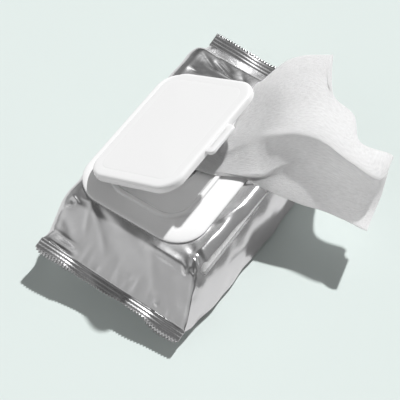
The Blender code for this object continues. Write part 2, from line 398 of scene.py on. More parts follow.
class Nodes:
    """Adds and links nodes in one tree."""

    def __init__(self, tree: bpy.types.NodeTree) -> None:
        """Keeps the tree."""
        self.tree = tree

    def feed(self, node: bpy.types.Node, socket: str | int, value: object) -> None:
        """Links an output into a socket, or sets the socket's own value.

        Args:
            node: The node that is fed.
            socket: Its input, by name or number.
            value: Another node's output, or a plain value.
        """
        if isinstance(value, bpy.types.NodeSocket):
            self.tree.links.new(value, node.inputs[socket])
        else:
            node.inputs[socket].default_value = value

    def add(
        self, kind: str, inputs: dict[str | int, object] | None = None, **settings: object
    ) -> bpy.types.Node:
        """Adds a node.

        Args:
            kind: Blender's node type.
            inputs: Values, or other nodes' outputs, by socket name or number.
            **settings: Properties of the node itself.

        Returns:
            The node.
        """
        made = self.tree.nodes.new(kind)
        for key, value in settings.items():
            setattr(made, key, value)
        for key, value in (inputs or {}).items():
            self.feed(made, key, value)
        return made


def grain_group() -> bpy.types.NodeTree:
    """Makes the grain that the finishes share, from a coarse and a fine noise.

    The height is the two noises mixed by the fine one's share. The roughness is a middle value plus the
    spread times the coarse noise about one half.

    Returns:
        The node group.
    """
    tree = bpy.data.node_groups.new("surface_grain", "ShaderNodeTree")
    tree.interface.new_socket("Vector", in_out="INPUT", socket_type="NodeSocketVector")
    for entry in fields(Grain):
        tree.interface.new_socket(socket_name(entry.name), in_out="INPUT", socket_type="NodeSocketFloat")
    for label in ("Height", "Roughness"):
        tree.interface.new_socket(label, in_out="OUTPUT", socket_type="NodeSocketFloat")
    nodes = Nodes(tree)
    enter = nodes.add("NodeGroupInput").outputs
    noises = [
        nodes.add("ShaderNodeTexNoise", {"Vector": enter["Vector"], "Scale": enter[scale], "Detail": 3.0})
        for scale in ("Coarse Scale", "Fine Scale")
    ]
    coarse, fine = (noise.outputs[0] for noise in noises)
    height = nodes.add("ShaderNodeMix", {0: enter["Fine Share"], 2: coarse, 3: fine})
    centred = nodes.add("ShaderNodeMath", {0: coarse, 1: 0.5}, operation="SUBTRACT")
    spread = nodes.add(
        "ShaderNodeMath",
        {0: centred.outputs[0], 1: enter["Roughness Spread"], 2: enter["Roughness"]},
        operation="MULTIPLY_ADD",
    )
    nodes.add("NodeGroupOutput", {"Height": height.outputs[0], "Roughness": spread.outputs[0]})
    return tree


class Shader(Nodes):
    """Builds one material's nodes around its Principled shader."""

    def __init__(self, name: str) -> None:
        """Starts a material with a plain Principled shader.

        Args:
            name: Material name.
        """
        self.material = bpy.data.materials.new(name)
        self.material.use_nodes = True
        super().__init__(self.material.node_tree)
        self.principled = self.tree.nodes["Principled BSDF"]

    def shade(self, **sockets: object) -> None:
        """Sets the Principled shader's sockets, with _ for a space in the socket's name."""
        for key, value in sockets.items():
            self.feed(self.principled, key.replace("_", " "), value)

    def grain(self, group: bpy.types.NodeTree, place: bpy.types.NodeSocket, values: Grain) -> bpy.types.Node:
        """Places the shared grain.

        Args:
            group: The shared node group.
            place: Coordinates that its noises read.
            values: The finish's own values.

        Returns:
            The group's node, with the outputs Height and Roughness.
        """
        made = self.add("ShaderNodeGroup", node_tree=group)
        self.feed(made, "Vector", place)
        for name, value in asdict(values).items():
            self.feed(made, socket_name(name), value)
        return made

    def bump(self, height: bpy.types.NodeSocket, strength: float, depth: float) -> bpy.types.NodeSocket:
        """Adds a bump.

        Args:
            height: Height that the bump follows.
            strength: Share of the bump that shows.
            depth: Depth of the bump in metres.

        Returns:
            The bumped normal.
        """
        made = self.add("ShaderNodeBump", {"Strength": strength, "Distance": depth, "Height": height})
        return made.outputs["Normal"]


@dataclass(frozen=True)
class SilverFilm:
    """Metallised packaging film: a soft metal sheen, small crinkles and slow changes of polish."""

    colour: Colour = (0.70, 0.70, 0.705, 1.0)
    grain: Grain = Grain(95.0, 700.0, 0.12, 0.25, 0.10)
    crinkle_strength: float = 0.16
    crinkle_depth: float = 0.0012

    def material(self, group: bpy.types.NodeTree) -> bpy.types.Material:
        """Builds the film material.

        Args:
            group: The shared grain.

        Returns:
            The material.
        """
        shader = Shader("silver_film_looks")
        grain = shader.grain(group, shader.add("ShaderNodeTexCoord").outputs["Object"], self.grain)
        shader.shade(
            Base_Color=self.colour,
            Metallic=1.0,
            Roughness=grain.outputs["Roughness"],
            Normal=shader.bump(grain.outputs["Height"], self.crinkle_strength, self.crinkle_depth),
        )
        return shader.material


@dataclass(frozen=True)
class WhitePlastic:
    """Glossy white moulded plastic with faint flow marks."""

    colour: Colour = (0.885, 0.885, 0.885, 1.0)
    grain: Grain = Grain(35.0, 1500.0, 0.1, 0.20, 0.08)
    flow_strength: float = 0.05
    flow_depth: float = 0.0005

    def material(self, group: bpy.types.NodeTree) -> bpy.types.Material:
        """Builds the plastic material.

        Args:
            group: The shared grain.

        Returns:
            The material.
        """
        shader = Shader("white_plastic_looks")
        grain = shader.grain(group, shader.add("ShaderNodeTexCoord").outputs["Object"], self.grain)
        shader.shade(
            Base_Color=self.colour,
            Roughness=grain.outputs["Roughness"],
            Normal=shader.bump(grain.outputs["Height"], self.flow_strength, self.flow_depth),
        )
        return shader.material


@dataclass(frozen=True)
class WipeCloth:
    """Spunlace nonwoven: fine fibres mostly across the cloth, soft and a little translucent."""

    colour: Colour = (0.97, 0.97, 0.97, 1.0)
    shade_colour: Colour = (0.84, 0.84, 0.84, 1.0)
    grain: Grain = Grain(60.0, 1400.0, 0.6, 0.85, 0.1)
    fibre_stretch: Triple = (4.0, 1.0, 1.0)
    fibre_scale: float = 300.0
    fibre_detail: float = 4.0
    fibre_strength: float = 0.6
    fibre_depth: float = 0.0006
    tone_range: Pair = (0.36, 0.64)
    translucency: float = 0.85
    translucent_depth: float = 0.005
    sheen: float = 0.3

    def material(self, group: bpy.types.NodeTree) -> bpy.types.Material:
        """Builds the cloth material; its fibres follow the sheet's own map, in metres.

        Args:
            group: The shared grain.

        Returns:
            The material.
        """
        shader = Shader("wipe_cloth_looks")
        flat = shader.add("ShaderNodeUVMap", uv_map="sheet").outputs["UV"]
        stretched = shader.add("ShaderNodeMapping", {"Vector": flat, "Scale": self.fibre_stretch}).outputs[0]
        fibre = shader.add(
            "ShaderNodeTexNoise",
            {"Vector": stretched, "Scale": self.fibre_scale, "Detail": self.fibre_detail},
        ).outputs[0]
        grain = shader.grain(group, flat, self.grain)
        height = shader.add("ShaderNodeMath", {0: fibre, 1: grain.outputs["Height"]}, operation="ADD")
        low, high = self.tone_range
        contrast = shader.add("ShaderNodeMapRange", {"Value": fibre, "From Min": low, "From Max": high})
        tone = shader.add(
            "ShaderNodeMix",
            {0: contrast.outputs[0], 6: self.shade_colour, 7: self.colour},
            data_type="RGBA",
        )
        shader.shade(
            Base_Color=tone.outputs[2],
            Roughness=grain.outputs["Roughness"],
            Normal=shader.bump(height.outputs[0], self.fibre_strength, self.fibre_depth),
            Subsurface_Weight=self.translucency,
            Subsurface_Radius=(1.0, 1.0, 1.0),
            Subsurface_Scale=self.translucent_depth,
            Sheen_Weight=self.sheen,
        )
        return shader.material


class Finishes:
    """The three finishes as materials."""

    def __init__(self) -> None:
        """Makes the shared grain and each material once."""
        group = grain_group()
        self.film = SilverFilm().material(group)
        self.plastic = WhitePlastic().material(group)
        self.cloth = WipeCloth().material(group)


# ------------------------------------------------------------------ film pouch


@dataclass
class EndSeal:
    """One crimped end of the pouch: ribs along the seal, a zigzag cut edge and a slow wave across it.

    The strip runs from its inner edge to the cut edge. Its height is a straight rise across the pack plus a
    tilt that changes across the pack, the ribs are a sine along X, the teeth are a triangle wave and the cut
    wanders by two slow sines. The underside's layer reaches past the upper one in places, by the flare.
    """

    inner_x: float
    outer_x: float
    middle_z: float
    rise: float
    tilt_y: Row
    tilt_deg: Row
    flare_y: Row
    flare: Row
    half_width: float = 51.5
    rib_pitch: float = 2.3
    rib_height: float = 0.06
    tooth_pitch: float = 2.0
    tooth_depth: float = 1.3
    cut_margin: float = 0.6
    thickness: float = 0.5
    columns: int = 207
    rows: int = 27

    def layer(self, lower: bool) -> Array:
        """Grid of one film layer, from the inner edge to the cut edge.

        Args:
            lower: True for the underside's layer.

        Returns:
            Points, rows along X by columns along Y.
        """
        y = np.linspace(-self.half_width, self.half_width, self.columns)
        share = np.linspace(0, 1, self.rows)[:, None]
        tooth = np.abs((y / self.tooth_pitch % 1) - 0.5) * 2 - 0.5
        wobble = 0.35 * np.sin(y * 0.11) + 0.2 * np.sin(y * 0.31 + 1)
        full = abs(self.outer_x - self.inner_x)
        reach = full - self.tooth_depth / 2 + self.tooth_depth * tooth + wobble - self.cut_margin
        flare = smooth_curve(y, np.array(self.flare_y), np.array(self.flare))
        if lower:
            reach = reach + flare
        out = share * reach
        x = self.inner_x + math.copysign(1.0, self.outer_x - self.inner_x) * out
        tilt = np.radians(smooth_curve(y, np.array(self.tilt_y), np.array(self.tilt_deg)))
        ribs = self.rib_height * np.sin(2 * math.pi * out / self.rib_pitch) * smoothstep(out, 0.0, 1.2)
        z = self.middle_z + self.rise * y / self.half_width + out * np.tan(tilt) + ribs
        z = z + 0.25 * np.sin(y * 0.22 + 0.7) * share
        if lower:
            z = z - self.thickness - 0.5 * np.clip(flare, 0, 2) * share**2
        return np.stack([x, np.broadcast_to(y, x.shape), z], -1)

    def slab(self) -> tuple[Array, Faces]:
        """Points and quads of the closed strip."""
        return closed_slab(self.layer(False), self.layer(True))


@dataclass
class FilmPouch:
    """The silver pouch: one tube of film and both end seals.

    Each cross-section is a flat underside and top joined by walls through elliptical corners. Its sizes
    change along the pack by smooth curves through the stations, and creases then lift the film.
    """

    stations: Row = (-89.6, -85.5, -79, -72, -65, -58, -30, 0, 30, 62, 71, 77, 83, 87.6)
    half_width: Row = (51.3, 51.5, 51.8, 52.4, 53, 53.4, 53.8, 54.2, 53.8, 53.4, 53, 52.4, 51.8, 51.3)
    underside: Row = (14.9, 8.0, 2.2, 0.1, 0, 0, 0, 0, 0, 0, 0.1, 1.6, 8.5, 16.9)
    top: Row = (15.6, 19.0, 25.5, 31.5, 36.6, 38, 38, 38, 38, 38, 36.8, 31.5, 24.0, 17.6)
    rise: Row = (5.0, 3.6, 1.4, 0, 0, 0, 0, 0, 0, 0, 0, 0.5, 2.5, 4.2)
    near_corner: Row = (1.0, 2.5, 4.5, 8, 13, 15, 15, 14, 14, 13, 11, 8, 4, 1.0)
    near_corner_drop: float = 22.0
    shoulder_deg: float = 74.0
    far_corner: float = 8.0
    foot_corner: float = 4.0
    most_of_height: Triple = (0.58, 0.48, 0.35)
    flat_end: float = 60.0
    wall_thickness: float = 0.3
    mouth: Pair = (64.0, 34.0)
    mouth_above: float = 30.0
    counts: tuple[int, ...] = (26, 5, 12, 22, 78, 12, 12, 5)
    gather_pitch: float = 3.2
    gather_width: float = 48.0
    seed: int = 7

    def rows(self) -> Array:
        """Places of the cross-sections along X, closest together towards the seals.

        Returns:
            Rising places in millimetres.
        """
        near = np.linspace(self.stations[0], -self.flat_end, 42)[:-1]
        middle = np.linspace(-self.flat_end, self.flat_end, 96)[:-1]
        return np.concatenate([near, middle, np.linspace(self.flat_end, self.stations[-1], 36)])

    def tube(self) -> Array:
        """Base surface of the tube before its creases.

        Around the section come the underside, the near foot, the near wall, the near shoulder, the top, the
        far shoulder, the far wall and the far foot. Feet and far shoulder are quarter ellipses, and the near
        shoulder is an ellipse's arc that stops at an edge. Near a seal no corner takes more than its share
        of the height. The whole section leans by the rise, from side to side.

        Returns:
            Points, rows along X by columns around, turned so that the faces look outwards.
        """
        x = self.rows()
        where = np.array(self.stations, float)

        def along(values: Row) -> Array:
            """A size's smooth curve through the stations, as a column."""
            return smooth_curve(x, where, np.array(values, float))[:, None]

        half, low, high = along(self.half_width), along(self.underside), along(self.top)
        corner = along(self.near_corner)
        room = high - low
        drop = np.minimum(self.near_corner_drop, room * self.most_of_height[0])
        far = np.minimum(self.far_corner, room * self.most_of_height[1])
        foot = np.minimum(self.foot_corner, room * self.most_of_height[2])
        share = [np.arange(n) / n for n in self.counts]
        quarter = [s * math.pi / 2 for s in share]
        full = math.radians(self.shoulder_deg)
        bend = share[3] * full
        parts = [
            ((half - foot) * (1 - 2 * share[0]), low + 0 * share[0]),
            (-(half - foot) - foot * np.sin(quarter[1]), low + foot * (1 - np.cos(quarter[1]))),
            (-half + 0 * share[2], low + foot + (room - foot - drop) * share[2]),
            (
                -half + corner * (1 - np.cos(bend)) / (1 - math.cos(full)),
                high - drop * (1 - np.sin(bend) / math.sin(full)),
            ),
            (-(half - corner) + (2 * half - corner - far) * share[4], high + 0 * share[4]),
            (half - far + far * np.sin(quarter[5]), high - far * (1 - np.cos(quarter[5]))),
            (half + 0 * share[6], high - far - (room - foot - far) * share[6]),
            (half - foot * (1 - np.cos(quarter[7])), low + foot * (1 - np.sin(quarter[7]))),
        ]
        y, z = (
            np.concatenate([np.broadcast_to(part[k], (len(x), part[k].shape[-1])) for part in parts], axis=1)
            for k in (0, 1)
        )
        z = z + along(self.rise) * y / half
        return np.stack([np.broadcast_to(x[:, None], y.shape), y, z], -1)

    def creases(self) -> list[Crease]:
        """Every listed crease: start, end, height, width and fold.

        Returns:
            Creases of the near corner, near shoulder, side, near slope, left corner and far slope.
        """
        sharp, soft = Fold.SHARP, Fold.SOFT
        corner = [
            ((-60, -39, 37), (-54, -41, 37), -1.2, 8.0, soft),
            ((-66, -9, 37), (-66, -34, 36), 1.8, 3.8, soft),
            ((-65, -34, 36), (-69, -38, 34), 1.5, 0.9, sharp),
            ((-69, -38, 34), (-65, -39, 37), 1.5, 0.9, sharp),
            ((-65, -39, 37), (-58, -37, 38), 1.3, 0.9, sharp),
            ((-57, -37, 38), (-62, -41, 37), 1.4, 1.0, sharp),
            ((-62, -41, 37), (-68, -45, 34), 1.4, 1.0, sharp),
            ((-68, -45, 34), (-76, -47, 27), 1.0, 1.2, sharp),
            ((-76, -47, 27), (-87, -51, 12), 0.9, 1.1, sharp),
            ((-64, -43, 37), (-67, -41, 36), -1.4, 1.8, soft),
        ]
        shoulder = [
            ((-64, -38, 37), (66, -40, 37), 0.35, 5.0, soft),
            ((-62, -36, 38), (-38, -38, 38), 0.7, 1.6, sharp),
            ((-30, -34, 38), (-12, -40, 38), 0.7, 1.8, soft),
            ((-48, -33, 38), (-30, -36, 38), -0.5, 2.0, soft),
        ]
        side = [
            ((-61, -45, 36), (-60, -52, 26), -0.45, 3.0, soft),
            ((-60, -52, 26), (-68, -52, 21), -0.45, 3.0, soft),
            ((-68, -52, 21), (-72, -49, 29), -0.35, 2.8, soft),
            ((-50, -46, 36), (-20, -53, 26), -0.35, 4.0, soft),
            ((-45, -52, 25), (0, -53, 30), 0.25, 6.0, soft),
            ((-20, -53, 20), (40, -53, 27), -0.3, 5.0, soft),
            ((-85, -52, 8), (-40, -54, 10), 0.3, 5.0, soft),
        ]
        slope = [
            ((-60, 36, 38), (-71, 21, 32), 0.7, 1.8, soft),
            ((-71, 21, 32), (-80, 12, 25), 0.4, 2.0, soft),
            ((-60, 35, 38), (-76, 29, 29), 0.6, 1.6, soft),
            ((-61, 32, 38), (-68, 12, 35), -0.4, 2.4, soft),
            ((-63, 14, 37), (-79, -27, 25), 0.45, 3.6, soft),
            ((-66, -12, 36), (-85, -29, 18), 0.5, 3.0, soft),
            ((-64, 26, 37), (-84, -8, 21), -0.4, 4.0, soft),
            ((-86, -27, 17), (-87, -31, 16), 0.7, 0.8, sharp),
            ((-84, -29, 19), (-88, -30, 14), 0.5, 0.8, sharp),
            ((-70, -30, 33), (-86, -42, 15), -0.4, 4.0, soft),
        ]
        left = [
            ((-63, 48, 37), (-66, 40, 37), 1.3, 0.9, sharp),
            ((-66, 41, 36), (-69, 47, 34), 1.4, 0.9, sharp),
            ((-62, 42, 38), (-61, 36, 38), 0.9, 0.8, sharp),
            ((-65, 44, 36), (-67, 45, 35), -1.2, 1.6, soft),
            ((-70, 49, 31), (-67, 43, 35), 1.1, 1.0, sharp),
            ((-82, 48, 24), (-84, 29, 23), 1.5, 1.4, sharp),
            ((-87, 48, 21), (-87, 30, 20), -1.8, 2.2, soft),
            ((-74, 48, 31), (-80, 36, 26), -0.6, 2.6, soft),
        ]
        far = [
            ((54, 45, 38), (56, 35, 38), -1.1, 1.0, sharp),
            ((70, 46, 36), (62, 30, 38), -1.2, 1.1, sharp),
            ((76, 44, 33), (66, 20, 38), -1.2, 1.1, sharp),
            ((68, 34, 38), (62, 18, 38), -1.2, 0.8, sharp),
            ((80, 30, 28), (64, 10, 38), -1.1, 1.2, sharp),
            ((82, 12, 25), (62, -4, 38), -1.0, 1.2, sharp),
            ((84, -14, 22), (64, -22, 38), -1.0, 1.2, sharp),
            ((82, -34, 24), (66, -34, 37), -1.0, 1.1, sharp),
            ((60, 40, 38), (60, 4, 38), 0.9, 2.4, soft),
        ]
        return [Crease(*row) for row in corner + shoulder + side + slope + left + far]

    def seals(self) -> dict[str, EndSeal]:
        """Both end seals by the names of their pieces.

        Returns:
            The near seal and the far one.
        """
        near = EndSeal(
            inner_x=-89.0,
            outer_x=-97.5,
            middle_z=15.5,
            rise=5.0,
            tilt_y=(-52, -38, -31, -26, -11, -5, 2, 18, 25, 31, 43, 52),
            tilt_deg=(-10, -12, -9, -2, -2, -9, -13, -12, -9, -2, -2, -6),
            flare_y=(-52, -46, -30, -26, 24, 30, 46, 52),
            flare=(0.3, 1.8, 1.6, 0.0, 0.0, 1.6, 1.8, 0.3),
        )
        far = EndSeal(
            inner_x=87.0,
            outer_x=98.0,
            middle_z=17.4,
            rise=4.2,
            tilt_y=(-52, -30, 0, 18, 34, 52),
            tilt_deg=(8, 6, 11, 7, 12, 14),
            flare_y=(-52, -20, 20, 52),
            flare=(0.0, 0.5, 0.2, 0.6),
        )
        return {"near_end_seal": near, "far_end_seal": far}

    def gathers(self) -> list[Crease]:
        """Short random creases that run out of both end seals, drawn in a fixed order.

        Returns:
            One crease for each step of the pitch, at each seal.
        """
        draw = np.random.default_rng(self.seed)
        made = []
        for seal in self.seals().values():
            inward = -math.copysign(1.0, seal.inner_x)
            for y in np.arange(-self.gather_width, self.gather_width + 1, self.gather_pitch):
                y0 = y + draw.uniform(-1.2, 1.2)
                reach = draw.uniform(3.0, 11.0)
                z0 = seal.middle_z + seal.rise * y0 / seal.half_width + 0.5
                end = (seal.inner_x + inward * reach, y0 + draw.uniform(-3, 3), z0 + 0.95 * reach)
                height = draw.uniform(-0.8, 0.8)
                width = draw.uniform(0.7, 1.6)
                made.append(Crease((seal.inner_x, y0, z0), end, height, width, Fold.SHARP))
        return made

    def creased(self, tube: Array) -> Array:
        """Lifts the tube along its normals by the creases and, on its walls, by two slow sines.

        Args:
            tube: The smooth tube.

        Returns:
            The creased tube.
        """
        normals = surface_normals(tube, wrap_columns=True)
        lift = np.zeros(tube.shape[:2])
        for crease in self.creases() + self.gathers():
            lift = lift + crease.lift(tube)
        x, y, z = tube[..., 0], tube[..., 1], tube[..., 2]
        wave = 0.35 * np.sin(x * 0.13 + y * 0.09 + 0.5) + 0.25 * np.sin(x * 0.29 - z * 0.23 + 2)
        lift = lift + wave * smoothstep(np.abs(normals[..., 2]), 1.0, 0.6)
        return tube + normals * lift[..., None]

    def build(self, finishes: Finishes) -> bpy.types.Object:
        """Builds the pouch, with an elliptical mouth cut in its top, and lets it stand for its CAD node.

        The quads inside the mouth are left out, and the points around it are drawn out to the ellipse.

        Args:
            finishes: The materials.

        Returns:
            The pouch.
        """
        points = self.creased(self.tube())
        rows, columns = points.shape[:2]
        faces = grid_faces(rows, columns, wrap_columns=True)
        flat = points.reshape(-1, 3).copy()
        ellipse = np.hypot(
            (flat[:, 0] - Dispenser.centre[0]) / (self.mouth[0] / 2),
            (flat[:, 1] - Dispenser.centre[1]) / (self.mouth[1] / 2),
        )
        inside = (ellipse < 1) & (flat[:, 2] > self.mouth_above)
        faces = faces[~inside[faces].all(axis=1)]
        grow = np.where(inside, 1 / np.maximum(ellipse, 0.2), 1.0)
        for axis in (0, 1):
            flat[:, axis] = Dispenser.centre[axis] + (flat[:, axis] - Dispenser.centre[axis]) * grow
        used, faces = np.unique(faces, return_inverse=True)
        pouch = mesh_object("film_pouch", flat[used], faces.reshape(-1, 4), finishes.film)
        wall(pouch, self.wall_thickness, -1.0)
        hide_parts("pouch")
        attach(pouch, Body.PACK.value)
        return pouch

    def build_seals(self, finishes: Finishes) -> list[bpy.types.Object]:
        """Builds both end seals.

        Args:
            finishes: The materials.

        Returns:
            The near seal and the far one.
        """
        made = []
        for name, seal in self.seals().items():
            points, faces = seal.slab()
            piece = mesh_object(name, points, faces, finishes.film, recalculate=True)
            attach(piece, Body.PACK.value)
            made.append(piece)
        return made


# ------------------------------------------------------------------ dispenser


@dataclass
class Dispenser:
    """White base frame stuck on the film, the flip-top lid and the living hinge between them."""

    centre: Pair = (-4.8, 9.8)
    base_size: Pair = (110.0, 85.0)
    base_corner: float = 20.0
    base_bottom: float = 38.3
    flange_top: float = 40.6
    ring_size: Pair = (87.0, 58.0)
    ring_corner: float = 17.0
    ring_top: float = 42.2
    ring_width: float = 3.0
    dish_top: float = 40.2
    opening: Pair = (60.0, 30.0)
    lid_size: Pair = (93.0, 71.0)
    lid_corner: float = 14.0
    lid_height: float = 5.0
    lid_wall: float = 1.3
    lid_edge: float = 2.2
    lid_crown: float = 0.5
    lid_open_deg: float = 28.0
    tab_size: Triple = (24.0, 8.0, 2.2)
    tab_corner: float = 2.6
    tab_points_around: int = 64
    tab_out: float = 5.6
    tab_rise: float = 1.2
    hinge_z: float = 41.5
    hinge_length: float = 48.0
    hinge_reach: float = 1.9
    hinge_tuck: float = 0.25
    hinge_lift: float = 0.1
    hinge_climb: float = 1.25
    hinge_wall: float = 0.3
    outline_points: int = 192

    @property
    def hinge_y(self) -> float:
        """Y of the hinge axis."""
        return self.centre[1] + self.lid_size[1] / 2

    def lift_lid(self, points: Array) -> Array:
        """Turns points drawn on the shut lid, from its hinge axis, into their place with the lid open.

        Args:
            points: Points from the hinge axis.

        Returns:
            Points in the pack's frame.
        """
        angle = -math.radians(self.lid_open_deg)
        cos, sin = math.cos(angle), math.sin(angle)
        x, y, z = points[..., 0], points[..., 1], points[..., 2]
        return np.stack(
            [self.centre[0] + x, self.hinge_y + y * cos - z * sin, self.hinge_z + y * sin + z * cos], -1
        )

    def base_points(self) -> Array:
        """Rings of the base: rounded rectangles from the flange to the bead, ellipses at the opening.

        Returns:
            Rings by points by three.
        """
        n = self.outline_points
        bottom, top, ring, dish = self.base_bottom, self.flange_top, self.ring_top, self.dish_top
        flange = [
            (1.6, bottom), (0.25, bottom), (0.0, bottom + 0.2), (0.0, bottom + 0.55), (0.15, bottom + 0.85),
            (0.6, bottom + 1.15), (2.2, bottom + 1.6), (6.5, top - 0.15), (9.0, top),
        ]
        bead = [
            (-1.1, top), (-0.35, top + 0.15), (0.0, top + 0.6), (0.1, ring - 0.45), (0.45, ring - 0.1),
            (0.9, ring), (1.8, ring), (2.4, ring - 0.15), (self.ring_width, ring - 0.8), (3.6, dish + 0.45),
            (4.6, dish + 0.12), (7.0, dish),
        ]
        outer = outline_rings(self.base_size, self.base_corner, spread_profile(flange, 2), 1.0, n)
        inner = outline_rings(self.ring_size, self.ring_corner, spread_profile(bead, 2), 1.0, n)
        angle = (np.arange(n) + 0.5) / n * 2 * math.pi
        lip = spread_profile(
            [
                (4.0, dish), (2.4, dish + 0.05), (1.6, dish + 0.35), (1.1, dish + 0.6), (0.5, dish + 0.7),
                (0.05, dish + 0.5), (0.0, dish), (0.0, bottom + 0.2), (0.3, bottom), (5.0, bottom),
            ],
            2,
        )
        grow = lip[:, 0][:, None]
        ellipse = np.stack(
            [
                (self.opening[0] / 2 + grow) * np.cos(angle),
                (self.opening[1] / 2 + grow) * np.sin(angle),
                np.broadcast_to(lip[:, 1][:, None], (len(lip), n)),
            ],
            -1,
        )
        points = np.concatenate([outer, inner, ellipse])
        return points + np.array([self.centre[0], self.centre[1], 0.0])

    def build_base(self, finishes: Finishes) -> bpy.types.Object:
        """Builds the base as one closed ring.

        Args:
            finishes: The materials.

        Returns:
            The piece.
        """
        points = self.base_points()
        closed = np.concatenate([points, points[:1]])
        around = grid_faces(len(closed), self.outline_points, wrap_columns=True)
        faces = around % (len(points) * self.outline_points)
        base = mesh_object("dispenser_frame", points, faces, finishes.plastic, weld=0.001, recalculate=True)
        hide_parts("dispenser_base")
        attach(base, Body.PACK.value)
        return base

    def lid_points(self) -> Array:
        """Rings of the lid from the middle of its ceiling, round the rim, to the middle of its top.

        Returns:
            Rings by points by three, from the hinge axis.
        """
        top, ceiling = self.lid_height, self.lid_height - self.lid_wall
        w, crown = self.lid_wall, self.lid_crown
        profile = spread_profile(
            [
                (30.0, ceiling + crown), (w + 2.2, ceiling), (w + 0.9, ceiling - 0.3),
                (w + 0.3, ceiling - 0.9), (w, 0.5), (w * 0.75, 0.08), (w * 0.5, 0.0), (w * 0.2, 0.1),
                (0.0, 0.5),
                (0.0, top - self.lid_edge), (0.18, top - 1.35), (0.65, top - 0.65), (1.35, top - 0.18),
                (self.lid_edge, top), (6.4, top + 0.02), (6.9, top - 0.02), (7.4, top + 0.06),
                (9.0, top + 0.1), (30.0, top + crown),
            ],
            3,
        )
        rings = outline_rings(self.lid_size, self.lid_corner, profile, 2.0, self.outline_points)
        caps = [ring.copy() for ring in (rings[0], rings[-1])]
        for cap in caps:
            cap[:, :2] = 0.0
        rings = np.concatenate([caps[0][None], rings, caps[1][None]])
        rings[..., 1] -= self.lid_size[1] / 2
        return rings

    def tab_points(self) -> Array:
        """Rings of the thumb tab, a plate with rounded corners and edges.

        Returns:
            Rings by points by three, from the hinge axis.
        """
        length, width, thick = self.tab_size
        profile = spread_profile(
            [
                (3.9, 0.0), (0.5, 0.0), (0.12, 0.15), (0.0, 0.5), (0.0, thick - 0.6), (0.2, thick - 0.2),
                (0.7, thick), (3.9, thick),
            ],
            2,
        )
        rings = outline_rings((length, width), self.tab_corner, profile, 0.05, self.tab_points_around)
        rings[..., 1] += -self.lid_size[1] - self.tab_out + width / 2
        rings[..., 2] += self.tab_rise
        return rings

    def build_lid(self, finishes: Finishes) -> bpy.types.Object:
        """Builds the lid with its thumb tab.

        Args:
            finishes: The materials.

        Returns:
            The piece.
        """
        lid = self.lift_lid(self.lid_points())
        tab = self.lift_lid(self.tab_points())
        faces = grid_faces(lid.shape[0], lid.shape[1], wrap_columns=True)
        first = lid.shape[0] * lid.shape[1]
        tab_faces = grid_faces(tab.shape[0], tab.shape[1], wrap_columns=True, start=first)
        piece = mesh_object(
            "flip_lid",
            np.concatenate([lid.reshape(-1, 3), tab.reshape(-1, 3)]),
            np.concatenate([faces, tab_faces]),
            finishes.plastic,
            weld=0.001,
            recalculate=True,
        )
        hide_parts("lid")
        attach(piece, Body.LID.value)
        return piece

    def build_hinge(self, finishes: Finishes) -> bpy.types.Object:
        """Builds the living hinge: a thin band that leaves the flange and climbs to the lid's rear rim.

        Its section is a quarter ellipse behind the hinge axis, thickened evenly to both sides.

        Args:
            finishes: The materials.

        Returns:
            The piece.
        """
        angle = np.linspace(0, math.pi / 2, 9)[:, None]
        x = np.linspace(-self.hinge_length / 2, self.hinge_length / 2, 33)[None, :] + self.centre[0]
        y = self.hinge_y + self.hinge_reach * (1 - np.sin(angle)) - self.hinge_tuck + 0 * x
        z = self.flange_top + self.hinge_lift + self.hinge_climb * (1 - np.cos(angle)) + 0 * x
        middle = np.stack([x + 0 * angle, y, z], -1)
        half_wall = surface_normals(middle) * self.hinge_wall / 2
        points, faces = closed_slab(middle + half_wall, middle - half_wall)
        web = mesh_object("hinge_band", points, faces, finishes.plastic, recalculate=True)
        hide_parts("hinge_web")
        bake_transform(web)
        return web


# ------------------------------------------------------------------ wipes


def lay_map(piece: bpy.types.Object, flat: Array) -> None:
    """Gives a sheet its own UV map in metres, for the fibres.

    Args:
        piece: The sheet before any modifier.
        flat: Place of each vertex on the flat cloth, in millimetres.
    """
    layer = piece.data.uv_layers.new(name="sheet")
    corner = np.empty(len(piece.data.loops), dtype=np.int32)
    piece.data.loops.foreach_get("vertex_index", corner)
    layer.uv.foreach_set("vector", (flat.reshape(-1, 2)[corner] * MM).astype(np.float32).ravel())


